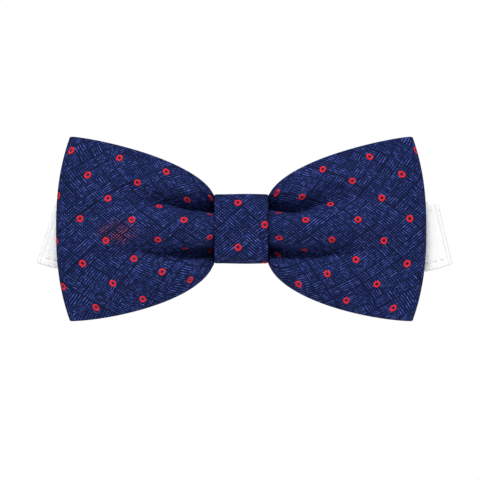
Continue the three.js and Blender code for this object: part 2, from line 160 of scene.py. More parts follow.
def front_depth(x, z, high, low):
    """How far the front layer stands before the bow's middle plane: a dome with two creases that
    run out from the knot, a puff between them, fine gathers near the knot and a soft waviness."""
    s = wing_share(x)
    t = np.where(z > 0, z / high, z / low)
    side = math.copysign(1, x)
    beyond = max(abs(x) - KNOT_HALF, 0)
    rim = mix(WAIST_RIM, END_RIM, s)
    dome = mix(WAIST_CROWN_FRONT, END_CROWN, s) * np.sqrt(np.clip(1 - t * t, 0, 1))
    swell = 3.2 * math.sin(math.pi * math.sqrt(s)) * (1 - t * t)
    open_up = smooth((abs(x) - 0.6 * KNOT_HALF) / 5)
    fade = 1 - smooth(s)
    spread = mix(0.9, 5.5, smooth(s) ** 1.5)
    upper = UPPER_CREASE + 0.24 * max(beyond - 9, 0) + 0.5 * math.sin(0.25 * x)
    lower = LOWER_CREASE - 0.07 * beyond + 0.4 * math.sin(0.21 * x + 1)
    crease = valley(z - upper, 1.0 * spread, 3.0 * spread ** 0.55)
    crease += valley(lower - z, 0.8 * spread, 3.4 * spread ** 0.5)
    puff = open_up * fade * 2.8 * np.exp(-((z - 0.4) / 4.6) ** 2)
    ridge_high = open_up * fade * 1.1 * np.exp(-((z - upper - 6.5) / 3.2) ** 2)
    depth = rim + dome + swell + puff + ridge_high - CREASE_DEPTH * fade ** 1.2 * crease
    near = math.exp(-beyond / 10)
    fan = 0.30 * near * np.sin(19 * t + 0.09 * x * (1 + t) + 4 * t * t + side)
    fan += 0.22 * math.exp(-beyond / 16) * np.sin(31 * t - 0.22 * abs(x) + 2 * side)
    soft = 0.35 * np.sin(0.16 * abs(x) + 2.6 * t + side) * np.sin(math.pi * s) * (1 - t * t)
    return soft_floor(depth + fan * open_up + soft, CREASE_FLOOR)


def back_depth(x, z, high, low):
    """How far the back layer stands behind the bow's middle plane."""
    s = wing_share(x)
    t = np.where(z > 0, z / high, z / low)
    rim = mix(WAIST_RIM, END_RIM, s)
    dome = mix(WAIST_CROWN_BACK, END_CROWN, s) * np.sqrt(np.clip(1 - t * t, 0, 1))
    beyond = max(abs(x) - KNOT_HALF, 0)
    pleats = 0.3 * math.exp(-beyond / 10) * (np.sin(17 * t + 0.05 * x) - 1)
    return rim + dome + pleats + 0.8 * math.sin(math.pi * math.sqrt(s)) * (1 - t * t)


def section(x, edge_x, rows, depth):
    """Heights and depths of one cross-section, with its rows evenly spaced along the cloth."""
    high = half_height(edge_x, False)
    low = half_height(edge_x, True)
    fine = np.sin(np.linspace(-math.pi / 2, math.pi / 2, FINE_STEPS))
    z = np.where(fine > 0, fine * high, fine * low)
    d = depth(x, z, high, low)
    along = reach_along(np.stack([z, d], 1))
    middle = np.interp(0, z, along)
    up = (along - middle) / (along[-1] - middle)
    down = (along - middle) / middle
    share = np.where(along > middle, up, down)
    return np.interp(rows, share, z), np.interp(rows, share, d)


def loop_surface(rows, flat_steps, back_steps, fold_steps):
    """The outer surface of the strip's flattened loop, from the middle of its back: left half of
    the back, left fold, front, right fold, right half of the back."""
    fold = END_RIM + END_CROWN * np.sqrt(np.clip(1 - rows ** 2, 0, 1))
    flat_end = END_X - TIP_SETBACK * np.abs(rows) ** TIP_CURVE - fold
    widest = flat_end.max()
    columns = []

    def column(station, depth, sign):
        reach = smooth((abs(station) - SETTLED_X) / (widest - SETTLED_X))
        x = math.copysign(1, station) * (abs(station) + (flat_end - widest) * reach)
        edge = abs(station) + (flat_end[-1] - widest) * reach
        z, d = section(station, edge, rows, depth)
        near_end = smooth((abs(station) / widest - 0.8) / 0.2)
        d = mix(d, fold, near_end)
        return np.stack([x, BOW_MID + sign * d, z], 1)

    def stations(count):
        right = np.linspace(0, 1, count + 1) ** 1.25 * widest
        return np.concatenate([-right[::-1], right[1:]])

    def add_fold(side, z):
        for i in range(1, fold_steps):
            angle = math.pi * (i / fold_steps - 0.5)
            x = flat_end + fold * math.cos(angle)
            columns.append(np.stack([side * x, BOW_MID + side * fold * math.sin(angle), z], 1))

    for station in stations(flat_steps):
        columns.append(column(station, front_depth, -1))
    left_z = columns[0][:, 2]
    add_fold(1, columns[-1][:, 2])
    for station in stations(back_steps)[::-1]:
        columns.append(column(station, back_depth, 1))
    add_fold(-1, left_z)
    back_middle = 2 * flat_steps + fold_steps + back_steps
    return np.roll(np.stack(columns), -back_middle, axis=0)


def surface_normals(points):
    """Unit normals of a grid of points that is closed in its first direction."""
    du = np.roll(points, -1, 0) - np.roll(points, 1, 0)
    dv = np.gradient(points, axis=1)
    n = np.cross(du, dv)
    return n / np.maximum(np.linalg.norm(n, axis=2, keepdims=True), 1e-9)


def blurred(normals, passes):
    """Normals evened out across the rows, so that layers under a sharp crease don't cross."""
    for _ in range(passes):
        padded = np.concatenate([normals[:, :1], normals, normals[:, -1:]], axis=1)
        normals = (padded[:, :-2] + 2 * padded[:, 1:-1] + padded[:, 2:]) / 4
    return normals / np.linalg.norm(normals, axis=2, keepdims=True)


def lengths_along(points):
    """Length along each row of a closed grid, from its first column round to itself."""
    steps = np.linalg.norm(np.diff(points, axis=0, append=points[:1]), axis=2)
    return np.concatenate([np.zeros((1, points.shape[1])), np.cumsum(steps, axis=0)])


# ---------------- mesh building
def linked(name, data):
    """A new object in the scene."""
    obj = bpy.data.objects.new(name, data)
    bpy.context.scene.collection.objects.link(obj)
    return obj


def make_object(name, verts, faces, material, uvs, flat_faces=0):
    """A mesh object in metres, smooth but for its last flat_faces faces."""
    mesh = bpy.data.meshes.new(name)
    mesh.from_pydata((np.asarray(verts) * MM).tolist(), [], faces)
    layer = mesh.uv_layers.new(name="cloth")
    layer.uv.foreach_set("vector", np.asarray(uvs, np.float32).ravel())
    smooth_faces = len(mesh.polygons) - flat_faces
    mesh.polygons.foreach_set("use_smooth", [True] * smooth_faces + [False] * flat_faces)
    mesh.materials.append(material)
    return linked(name, mesh)


CORNER_ORDER = ((0, 0), (1, 0), (1, 1), (0, 1))  # of a face, in grid steps


def grid_faces(nu, nv, closed_u):
    """Faces of a grid that is closed in its second direction, and each one's place in the grid."""
    faces = []
    corners = []
    for i in range(nu if closed_u else nu - 1):
        for j in range(nv):
            beyond = (i + 1) % nu
            d = (j + 1) % nv
            faces.append((i * nv + j, beyond * nv + j, beyond * nv + d, i * nv + d))
            corners.append((i, j))
    return faces, np.array(corners)


def grid_object(name, points, material, closed_u, uv, flip=False):
    """A tube over a grid of points, closed in its second direction, with flat ends if it is open.
    uv has one more line than points in each closed direction."""
    nu, nv = points.shape[:2]
    faces, corners = grid_faces(nu, nv, closed_u)
    order = CORNER_ORDER
    if flip:
        faces = [f[::-1] for f in faces]
        order = order[::-1]
    loops = [uv[corners[:, 0] + di, corners[:, 1] + dj] for di, dj in order]
    loops = list(np.stack(loops, 1).reshape(-1, 2))
    side_faces = len(faces)
    if not closed_u:
        for i, turned in ((0, False), (nu - 1, True)):
            for j in range(nv // 2):
                other = nv - 1 - j
                if (j + 1) % nv >= other:
                    break
                cap = [(i, j), (i, j + 1), (i, other - 1), (i, other)]
                if cap[1] == cap[2]:
                    cap = cap[:2] + cap[3:]
                if turned != flip:
                    cap = cap[::-1]
                faces.append(tuple(a * nv + b for a, b in cap))
                loops.extend(uv[a, b] for a, b in cap)
    caps = len(faces) - side_faces
    return make_object(name, points.reshape(-1, 3), faces, material, loops, caps)


def rim_shape(inside):
    """Half circle rise from a rim, as a share of the full thickness."""
    inside = np.clip(inside, 0, 1)
    return np.sqrt(1 - (1 - inside) ** 2)


def layered_band(name, outer, rows, ring, material, uv_u):
    """A closed band made of the surface's own rows, each sunk to the depth that ring gives."""
    normals = blurred(surface_normals(outer), NORMAL_PASSES)
    at = np.array([r for r, d in ring])
    depth = np.array([d for r, d in ring])
    index = np.clip(np.searchsorted(rows, at) - 1, 0, len(rows) - 2)
    share = (at - rows[index]) / (rows[index + 1] - rows[index])

    def pick(grid):
        if grid.ndim == 3:
            return mix(grid[:, index], grid[:, index + 1], share[None, :, None])
        return mix(grid[:, index], grid[:, index + 1], share[None, :])

    points = pick(outer) - pick(normals) * depth[None, :, None]
    u = pick(uv_u)
    v = np.broadcast_to(at * STRIP_HALF_WIDTH, u.shape)
    uv = np.stack([u, v], 2)
    uv = np.concatenate([uv, uv[:, :1]], axis=1)
    return grid_object(name, points, material, True, uv)


THREAD_END = 0.45  # a cut thread's end, as a share of its radius
THREAD_SEED = (0.31, 0.17, 0.94)  # a direction that no thread here runs along


def tube_parts(path, radius, sides, closed):
    """Vertices, faces and uvs of a round thread along a path, with pointed ends if it is open."""
    path = np.asarray(path, float)
    count = len(path)
    if closed:
        tangent = np.roll(path, -1, 0) - np.roll(path, 1, 0)
    else:
        tangent = np.gradient(path, axis=0)
    tangent /= np.linalg.norm(tangent, axis=1, keepdims=True)
    side = np.cross(tangent[0], THREAD_SEED)
    verts = []
    along = reach_along(np.concatenate([path, path[:1]]))
    for i in range(count):
        side = side - tangent[i] * np.dot(side, tangent[i])
        side /= np.linalg.norm(side)
        other = np.cross(tangent[i], side)
        end = not closed and i in (0, count - 1)
        r = radius * (THREAD_END if end else 1)
        for k in range(sides):
            angle = 2 * math.pi * k / sides
            verts.append(path[i] + r * (math.cos(angle) * side + math.sin(angle) * other))
    faces, corners = grid_faces(count, sides, closed)
    faces = [f[::-1] for f in faces]
    uvs = []
    for i, j in corners:
        for di, dj in CORNER_ORDER[::-1]:
            uvs.append((along[i + di], (j + dj) / sides))
    if not closed:
        faces.append(tuple(range(sides)))
        faces.append(tuple(range(len(verts) - 1, len(verts) - 1 - sides, -1)))
        uvs.extend([(0, 0)] * (2 * sides))
    return np.array(verts), faces, uvs


def threads(name, paths, radius, material, closed=False, sides=6):
    """One object of many threads."""
    verts, faces, uvs = [], [], []
    base = 0
    for path in paths:
        v, f, t = tube_parts(path, radius, sides, closed)
        verts.append(v)
        faces.extend(tuple(base + k for k in face) for face in f)
        uvs.extend(t)
        base += len(v)
    return make_object(name, np.concatenate(verts), faces, material, uvs)


# ---------------- node helpers
class Nodes:
    """Short names for the shader nodes that the materials below are made of."""

    def __init__(self, name):
        self.material = bpy.data.materials.new(name)
        self.material.use_nodes = True
        self.tree = self.material.node_tree
        self.tree.nodes.clear()
        self.shader = self.node("BsdfPrincipled")
        self.fill(self.node("OutputMaterial"), Surface=self.shader.outputs[0])

    def node(self, kind):
        return self.tree.nodes.new("ShaderNode" + kind)

    def put(self, socket, value):
        if isinstance(value, bpy.types.NodeSocket):
            self.tree.links.new(value, socket)
        else:
            socket.default_value = value

    def fill(self, node, **values):
        """Sets a node's inputs, with _ for a space in an input's name."""
        for key, value in values.items():
            self.put(node.inputs[key.replace("_", " ")], value)

    def math(self, operation, a, b=0.0, c=0.0, clamp=False):
        node = self.node("Math")
        node.operation = operation
        node.use_clamp = clamp
        for socket, value in zip(node.inputs, (a, b, c)):
            self.put(socket, value)
        return node.outputs[0]

    def add(self, a, b):
        return self.math("ADD", a, b)

    def sub(self, a, b):
        return self.math("SUBTRACT", a, b)

    def mul(self, a, b):
        return self.math("MULTIPLY", a, b)

    def wave(self, value, step):
        """From 0 to 0.5 and back, once every step."""
        return self.math("PINGPONG", self.math("DIVIDE", value, step), 0.5)

    def uv(self):
        node = self.node("UVMap")
        node.uv_map = "cloth"
        split = self.node("SeparateXYZ")
        self.fill(split, Vector=node.outputs[0])
        return split.outputs[0], split.outputs[1]

    def vector(self, x, y, z=0.0):
        node = self.node("CombineXYZ")
        for socket, value in zip(node.inputs, (x, y, z)):
            self.put(socket, value)
        return node.outputs[0]

    def length(self, vector):
        node = self.node("VectorMath")
        node.operation = "LENGTH"
        self.put(node.inputs[0], vector)
        return node.outputs["Value"]

    def noise(self, vector, scale, detail=2.0, rough=0.5):
        node = self.node("TexNoise")
        self.fill(node, Vector=vector, Scale=scale, Detail=detail, Roughness=rough)
        return node.outputs[0]

    def white_noise(self, vector):
        node = self.node("TexWhiteNoise")
        node.noise_dimensions = "3D"
        self.fill(node, Vector=vector)
        return node.outputs["Value"]

    def ramp(self, value, low, high, start=0.0, end=1.0):
        """Smoothly from start to end as value goes from low to high."""
        node = self.node("MapRange")
        node.interpolation_type = "SMOOTHSTEP"
        self.fill(node, Value=value, From_Min=low, From_Max=high, To_Min=start, To_Max=end)
        return node.outputs["Result"]

    def mix_color(self, factor, a, b):
        node = self.node("Mix")
        node.data_type = "RGBA"
        self.put(node.inputs[0], factor)
        self.put(node.inputs[6], a)
        self.put(node.inputs[7], b)
        return node.outputs[2]

    def bump(self, height, distance):
        node = self.node("Bump")
        self.fill(node, Height=height, Strength=1.0, Distance=distance)
        self.set(Normal=node.outputs[0])

    def set(self, **values):
        self.fill(self.shader, **values)


# ---------------- materials
RING_STEP_U = 17.2
RING_STEP_V = 14.6
RING_OUTER = 1.2
RING_HOLE = 0.45
RING_CREST = 0.87  # distance from a ring's middle at which its stitches stand highest
STRAY_U, STRAY_V = -46.6, -1.0  # middle of a patch where red threads come through
STRAY_HALF_U, STRAY_HALF_V = 8.5, 5.5
STRAY_RED = (0.55, 0.08, 0.03, 1)
BLOCK = 3.67  # side of a block of ridges
RIDGE = 0.78  # from ridge to ridge


def weave_height(n, p, q):
    """Ridges that run one way in each block, or both ways in a few, with grooves between blocks."""
    cell_p = n.math("FLOOR", n.math("DIVIDE", p, BLOCK))
    cell_q = n.math("FLOOR", n.math("DIVIDE", q, BLOCK))
    chance = n.white_noise(n.vector(cell_p, cell_q, 3.0))
    checker = n.math("PINGPONG", n.add(cell_p, cell_q), 1.0)
    swap = n.math("GREATER_THAN", chance, 0.72)
    along_q = n.math("ABSOLUTE", n.sub(checker, swap))
    is_grid = n.math("LESS_THAN", n.white_noise(n.vector(cell_q, cell_p, 7.0)), 0.2)

    across_p = n.mul(n.wave(p, RIDGE), 2.0)
    across_q = n.mul(n.wave(q, RIDGE), 2.0)
    broken_p = n.noise(n.vector(n.mul(p, 2.6), n.mul(q, 0.55)), 1.0)
    broken_q = n.noise(n.vector(n.mul(p, 0.55), n.mul(q, 2.6)), 1.0)
    ridge_p = n.mul(across_p, n.ramp(broken_p, 0.3, 0.62, 0.45, 1.0))
    ridge_q = n.mul(across_q, n.ramp(broken_q, 0.3, 0.62, 0.45, 1.0))
    both = n.math("MINIMUM", across_p, across_q)
    one_way = n.add(n.mul(along_q, ridge_p), n.mul(n.sub(1.0, along_q), ridge_q))
    height = n.add(n.mul(is_grid, both), n.mul(n.sub(1.0, is_grid), one_way))
    edge_p = n.mul(n.wave(p, BLOCK), BLOCK)
    edge_q = n.mul(n.wave(q, BLOCK), BLOCK)
    seam = n.ramp(n.math("MINIMUM", edge_p, edge_q), 0.0, 0.24, 0.25, 1.0)
    threads = n.noise(n.vector(n.mul(p, 5.0), n.mul(q, 5.0)), 1.0, 3.0, 0.6)
    return n.mul(n.mul(height, seam), n.ramp(threads, 0.25, 0.7, 0.75, 1.05))


def ring_distance(n, u, v, phase_u, phase_v):
    """Distance from the nearest ring's middle, in two lattices half a step apart."""
    def lattice(shift):
        half_u = RING_STEP_U / 2
        half_v = RING_STEP_V / 2
        du = n.math("WRAP", n.sub(u, phase_u + shift * half_u), half_u, -half_u)
        dv = n.math("WRAP", n.sub(v, phase_v + shift * half_v), half_v, -half_v)
        return n.math("SQRT", n.add(n.mul(du, du), n.mul(dv, dv)))

    fray = n.mul(n.sub(n.noise(n.vector(u, v), 3.5), 0.5), 0.22)
    return n.add(n.math("MINIMUM", lattice(0), lattice(1)), fray)


def navy_with_painted_light(n, u, v, p, q, height):
    """Navy with painted light: dark painted shade between the ridges, blue painted light on them and
    a paler painted highlight on the highest.
    """
    tone = n.ramp(n.noise(n.vector(u, v), 0.12), 0.3, 0.7, 0.82, 1.15)
    # gap is painted shade in the grooves, lit is painted light on the ridges and glint is a painted
    # highlight on the highest ridges
    painted_gap_shade = (0.0016, 0.0028, 0.014, 1)
    painted_ridge_light = (0.027, 0.051, 0.255, 1)
    painted_glint = (0.12, 0.165, 0.47, 1)
    stroke = n.noise(n.vector(n.mul(p, 0.8), n.mul(q, 0.8)), 1.0, 3.0, 0.6)
    stroke = n.ramp(stroke, 0.3, 0.7, 0.35, 1.4)
    shine = n.mul(n.mul(n.ramp(height, 0.22, 0.95), tone), stroke)
    navy = n.mix_color(n.ramp(shine, -0.15, 0.9), painted_gap_shade, painted_ridge_light)
    return n.mix_color(n.ramp(shine, 0.45, 1.25, 0.0, 0.7), navy, painted_glint)


def stray_share(n, u, v, p, q, height):
    """How much of the red threads shows through the navy, in one small patch."""
    stray_u = n.mul(n.sub(u, STRAY_U), 1 / STRAY_HALF_U)
    stray_v = n.mul(n.sub(v, STRAY_V), 1 / STRAY_HALF_V)
    patch = n.ramp(n.length(n.vector(stray_u, stray_v)), 0.2, 1.0, 0.8, 0.0)
    streaks = n.noise(n.vector(n.mul(p, 0.5), n.mul(q, 2.5)), 1.0)
    return n.mul(n.mul(patch, n.ramp(streaks, 0.42, 0.6)), n.ramp(height, 0.3, 0.8))


def jacquard(name, phase_u, phase_v):
    """Navy cloth woven in blocks of ridges, on the bias, with small red rings."""
    n = Nodes(name)
    u, v = n.uv()
    su = n.mul(u, math.sqrt(RING_STEP_V / RING_STEP_U / 2))
    sv = n.mul(v, math.sqrt(RING_STEP_U / RING_STEP_V / 2))
    wobble = n.sub(n.noise(n.vector(u, v), 0.35), 0.5)
    p = n.add(n.add(n.add(su, sv), 200.0), n.mul(wobble, 0.5))
    q = n.add(n.add(n.sub(sv, su), 200.0), n.mul(wobble, -0.4))
    height = weave_height(n, p, q)

    distance = ring_distance(n, u, v, phase_u, phase_v)
    outside = n.ramp(distance, RING_OUTER - 0.12, RING_OUTER + 0.08, 1.0, 0.0)
    ring = n.mul(outside, n.ramp(distance, RING_HOLE - 0.1, RING_HOLE + 0.08))
    from_crest = n.math("ABSOLUTE", n.sub(distance, RING_CREST))
    crown = n.math("SUBTRACT", 1.0, n.mul(from_crest, 2.1), clamp=True)
    stitches = n.ramp(n.noise(n.vector(u, v), 3.2), 0.35, 0.65, 0.5, 1.0)

    # the navy carries painted light on the ridges and painted shade between them
    navy = navy_with_painted_light(n, u, v, p, q, height)
    navy = n.mix_color(stray_share(n, u, v, p, q, height), navy, STRAY_RED)
    # the rings' red is painted light: brightest at the stitches' crest, a painted highlight, and
    # darker away from it, painted shade, varied at random by the stitch noise
    red = n.mix_color(n.mul(crown, stitches), (0.26, 0.005, 0.011, 1), (0.84, 0.030, 0.040, 1))
    n.set(Base_Color=n.mix_color(ring, navy, red), Roughness=n.add(n.mul(height, -0.2), 0.78))
    n.set(Specular_IOR_Level=0.10, Specular_Tint=(0.6, 0.7, 1.0, 1))
    raised = n.add(n.mul(n.mul(height, n.sub(1.0, ring)), 0.8), n.mul(ring, n.add(crown, 0.6)))
    n.bump(raised, 0.0003)
    return n.material


def plain_weave(name, color, pitch, bump, roughness):
    """Fine plain-woven cloth: two crossing sets of threads with a little unevenness."""
    n = Nodes(name)
    u, v = n.uv()
    over = n.wave(n.add(u, 300.0), pitch)
    under = n.wave(n.add(v, 300.0), pitch)
    height = n.math("SQRT", n.mul(n.mul(over, under), 4.0))
    slub = n.noise(n.vector(n.mul(u, 0.4), n.mul(v, 3.0)), 1.0, 3.0)
    height = n.mul(height, n.ramp(slub, 0.3, 0.7, 0.75, 1.0))
    cloudy = n.ramp(n.noise(n.vector(u, v), 0.15, 3.0), 0.3, 0.7, 0.96, 1.0)
    # painted shade: the colour is darker where the weave is low, between the crossings
    painted_thread_shade = tuple(c * 0.92 for c in color) + (1,)
    base = n.mix_color(n.math("MULTIPLY", height, cloudy, clamp=True), painted_thread_shade, color + (1,))
    n.set(Base_Color=base, Roughness=roughness, Sheen_Weight=0.15, Sheen_Roughness=0.5)
    n.bump(height, bump)
    return n.material


def thread_material(name, color):
    """Twisted sewing thread."""
    n = Nodes(name)
    u, v = n.uv()
    twist = n.math("PINGPONG", n.add(n.mul(u, 2.2), v), 0.5)
    # painted shade: the colour is darker in the grooves of the twist
    painted_thread_shade = tuple(c * 0.6 for c in color) + (1,)
    n.set(Base_Color=n.mix_color(n.mul(twist, 2.0), painted_thread_shade, color + (1,)), Roughness=0.6)
    n.bump(twist, 0.0001)
    return n.material


def nickel_material():
    """Satin nickel plate with fine brushing and slight tarnish."""
    n = Nodes("satin_nickel")
    coords = n.node("TexCoord")
    mapping = n.node("Mapping")
    n.fill(mapping, Vector=coords.outputs["Object"], Scale=(60.0, 60.0, 2500.0))
    brushed = n.noise(mapping.outputs[0], 1.0, 3.0)
    cloud = n.noise(coords.outputs["Object"], 220.0, 3.0)
    n.set(Base_Color=n.mix_color(cloud, (0.55, 0.55, 0.54, 1), (0.72, 0.72, 0.73, 1)))
    n.set(Metallic=1.0, Roughness=n.ramp(brushed, 0.3, 0.7, 0.22, 0.38))
    n.bump(brushed, 0.00001)
    return n.material


NAVY_BOW = jacquard("navy_jacquard_bow", -24.6, 3.3)
NAVY_KNOT = jacquard("navy_jacquard_knot", -1.05, -6.0)
CANVAS = plain_weave("interlining_canvas", (0.62, 0.6, 0.53), 0.9, 0.00012, 0.9)
WHITE_BAND = plain_weave("white_band_cloth", (0.73, 0.735, 0.74), 0.42, 0.00003, 0.8)
NAVY_THREAD = thread_material("navy_thread", (0.012, 0.018, 0.09))
WHITE_THREAD = thread_material("white_thread", (0.83, 0.83, 0.82))
NICKEL = nickel_material()


# ---------------- bow pieces
def put_on(piece, body, node):
    """Rides a piece on its body and hides the CAD node that it stands for."""
    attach(piece, body)
    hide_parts(node)


def bow_ring(rows):
    """Rows and depths round the flattened tube of cloth that the interlining lies in."""
    round_off = INNER_PLY_OUT / 2 / STRIP_HALF_WIDTH
    shoulder = 1 - round_off
    outside = [(r, 0.0) for r in rows[np.abs(rows) < shoulder]]
    rim = []
    for angle in np.radians(np.linspace(-90, 90, 7)):
        reach = shoulder + round_off * math.cos(angle)
        rim.append((reach, INNER_PLY_OUT / 2 * (1 + math.sin(angle))))
    hem = [(r, INNER_PLY_OUT) for r in np.linspace(shoulder, INNER_SEAM, 30)[1:]]
    under = [(r, INNER_PLY_IN) for r in np.linspace(INNER_SEAM, shoulder - 0.01, 30)]
    turn = [(shoulder - 0.003, (INNER_PLY_IN + CLOTH) / 2)]
    inner_rows = rows[np.abs(rows) < shoulder - 0.012][::2]
    upper = rim + hem + under + turn
    inside = [(r, CLOTH) for r in inner_rows[::-1]]
    lower = [(-r, d) for r, d in reversed(upper)]
    return outside + upper + inside + lower


def cloth_lengths(outer, rows):
    """Place along the strip as cut, from the middle of the front: the rows that fan out towards a
    wing's edges take more cloth than the middle row."""
    middle = len(rows) // 2
    line = lengths_along(outer[:, middle:middle + 1])
    x, y = outer[:, middle, 0], outer[:, middle, 1]
    line = line - line[int(np.argmin(np.abs(x) + (y > BOW_MID)))]
    away = np.minimum(np.abs(line), END_X)
    fanning = np.where(rows > 0, FAN_UP, FAN_DOWN) + np.where(rows > 0, 0.035, 0.03) * away
    fanned = rows ** 2 * fanning * smooth((away - KNOT_HALF) / 12)
    return line + np.sign(line) * (TUCK + fanned)


def build_bow():
    """The bow's cloth, a flattened tube in a flattened loop, and the interlining inside it."""
    even = np.linspace(-1, 1, BOW_ROWS)
    rows = mix(np.sin(even * 1.54) / math.sin(1.54), even, 0.75)
    outer = loop_surface(rows, *BOW_STEPS)
    along = cloth_lengths(outer, rows)
    bow = layered_band("bow_cloth", outer, rows, bow_ring(rows), NAVY_BOW, along)
    put_on(bow, "bow", "bow_strip")

    edge = 1 - CANVAS_INSET / STRIP_HALF_WIDTH
    inner_rows = rows[np.abs(rows) < edge]
    ring = [(r, CANVAS_IN) for r in inner_rows]
    ring += [(edge, (CANVAS_IN + CANVAS_OUT) / 2)]
    ring += [(r, CANVAS_OUT) for r in inner_rows[::-2]]
    ring += [(-edge, (CANVAS_IN + CANVAS_OUT) / 2)]
    lining = layered_band("bow_lining", outer, rows, ring, CANVAS, along)
    put_on(lining, "bow", "bow_interlining")


def rounded_path(front, back, half_z, corner, count):
    """Points (y, z) round a rounded rectangle, from the middle of the front upwards."""
    turns = [
        (front + corner, half_z - corner, 180, 90),
        (back - corner, half_z - corner, 90, 0),
        (back - corner, -half_z + corner, 0, -90),
        (front + corner, -half_z + corner, -90, -180),
    ]
    points = [(front, 0.0)]
    for cy, cz, start, end in turns:
        for a in np.radians(np.linspace(start, end, 13)):
            points.append((cy + corner * math.cos(a), cz + corner * math.sin(a)))
    points = np.array(points + [(front, 0.0)])
    reach = reach_along(points)
    at = np.linspace(0, reach[-1], count + 1)[:-1]
    return sampled(points, reach, at), at, reach[-1]


# ---------------- knot
KNOT_CLOTH = 1.25  # thickness of the folded band
KNOT_CORNER = 2.6
KNOT_STEPS = 260
KNOT_ROWS = 61
WINDING_TURNS = 4
WINDING_RADIUS = 0.29
PAD_STEPS = 33
HAND_STITCH = 1.6  # from one hand stitch to the next
HAND_STITCH_LIFT = np.array((0.0, 0.8, -0.6)) * 0.25
ALONG_STITCH = np.linspace(0, 1, 9)


def build_knot():
    """The wrapped band: a soft barrel at the front, fuller below, and flat at the back."""
    even = np.linspace(-1, 1, KNOT_ROWS)
    rows = mix(np.sin(even * math.pi / 2), even, 0.6)
    count = KNOT_STEPS
    path, at, total = rounded_path(KNOT_LOW[1], KNOT_HIGH[1], KNOT_HALF_Z, KNOT_CORNER, count)
    path = np.roll(path, count // 2, axis=0)
    at = at - total / 2
    frontness = smooth(1 - (path[:, 0] - KNOT_LOW[1]) / 4)
    edge = rim_shape((1 - np.abs(rows)) / 0.12)
    points = np.zeros((count, len(rows), 3))
    for j, r in enumerate(rows):
        crown = 0.5 * (1 - r * r)
        ripple = 0.11 * np.sin(at * 1.1 + 2.2 * r) + 0.06 * np.sin(at * 2.7 - 3 * r)
        above = np.clip(path[:, 1] / KNOT_HALF_Z, 0, 1)
        below = np.clip(-path[:, 1] / KNOT_HALF_Z, 0, 1)
        barrel = 2.2 * above ** 2.5 + 1.4 * below ** 2
        sink = (0.55 - crown - ripple + barrel) * frontness + 0.5 * (1 - edge[j])
        shrink = 1 - sink * (np.abs(path[:, 1]) / KNOT_HALF_Z) ** 4 * 0.05
        points[:, j, 0] = r * KNOT_HALF * (1 + 0.008 * np.sin(at * 0.9 + 1) * frontness)
        points[:, j, 1] = path[:, 0] + sink
        points[:, j, 2] = path[:, 1] * shrink * (1 + 0.006 * np.sin(3.1 * r + 1))
    points[:, :, 1] = np.minimum(points[:, :, 1], KNOT_HIGH[1])
    normals = surface_normals(points)
    outward = np.sign(-normals[count // 2, KNOT_ROWS // 2, 1])
    depth = KNOT_CLOTH * edge
    inner = points - outward * normals * depth[None, :, None]
    full = np.concatenate([points, inner[:, ::-1][:, 1:-1]], axis=1)
    u = np.broadcast_to(rows * KNOT_HALF, (count + 1, len(rows)))
    v = np.broadcast_to(np.append(at, total / 2)[:, None], u.shape)
    uv = np.stack([u, v], 2)
    uv = np.concatenate([uv, uv[:, ::-1][:, 1:-1], uv[:, :1]], axis=1)
    knot = grid_object("knot_wrap", full, NAVY_KNOT, True, uv, outward < 0)
    put_on(knot, "bow", "knot_band")


def build_gathering():
    """The thread wound round the bow's waist."""
    half = THREAD / 2
    front, back = WAIST_LOW[1] + half, WAIST_HIGH[1] - half
    path = rounded_path(front, back, WAIST_HIGH[2] - half, 1.2, 64)[0]
    across = WAIST_HIGH[0] - half
    winding = []
    for turn in range(WINDING_TURNS):
        for i, (y, z) in enumerate(path):
            share = (turn + i / len(path)) / WINDING_TURNS
            winding.append((mix(-across, across, share), y, z))
    wound = threads("gather_winding", [winding], WINDING_RADIUS, NAVY_THREAD, sides=8)
    put_on(wound, "bow", "gather_thread")


def build_padding():
    """A flat pad with thinned edges."""
    low, high = box_mm("knot_padding")
    count = PAD_STEPS
    share = np.linspace(-1, 1, count)
    half_x, _, half_z = high
    thick = high[1] - low[1]
    points = np.zeros((count, 2 * count - 2, 3))
    uv = np.zeros((count, 2 * count - 1, 2))
    for i, a in enumerate(share):
        width = half_x * (1 - 0.12 * abs(a) ** 8)
        for j in range(2 * count - 2):
            front = j < count
            b = share[j] if front else share[2 * count - 2 - j]
            edge = rim_shape((1 - abs(b)) / 0.2) * (0.25 + 0.75 * rim_shape((1 - abs(a)) / 0.15))
            y = high[1] - 0.5 * thick + (-0.5 if front else 0.5) * thick * edge
            points[i, j] = (b * width, y, a * half_z)
            uv[i, j] = (b * width, a * half_z)
    uv[:, -1] = uv[:, 0]
    pad = grid_object("knot_pad", points, CANVAS, False, uv, True)
    put_on(pad, "bow", "knot_padding")


def build_hand_stitches():
    """The slanting stitches that close the knot at the foot of its back."""
    low, high = box_mm("knot_stitches")
    paths = []
    for i in range(int((high[0] - low[0]) / HAND_STITCH)):
        x = low[0] + (i + 0.5) * HAND_STITCH
        start = np.array((x - 0.45 * HAND_STITCH, low[1] + 0.3, low[2] + 0.3))
        end = np.array((x + 0.45 * HAND_STITCH, high[1] - 0.3, high[2] - 0.3))
        lift = [HAND_STITCH_LIFT * math.sin(math.pi * t) for t in ALONG_STITCH]
        paths.append([mix(start, end, t) + up for t, up in zip(ALONG_STITCH, lift)])
    sewn = threads("knot_hand_stitches", paths, 0.2, NAVY_THREAD)
    put_on(sewn, "bow", "knot_stitches")


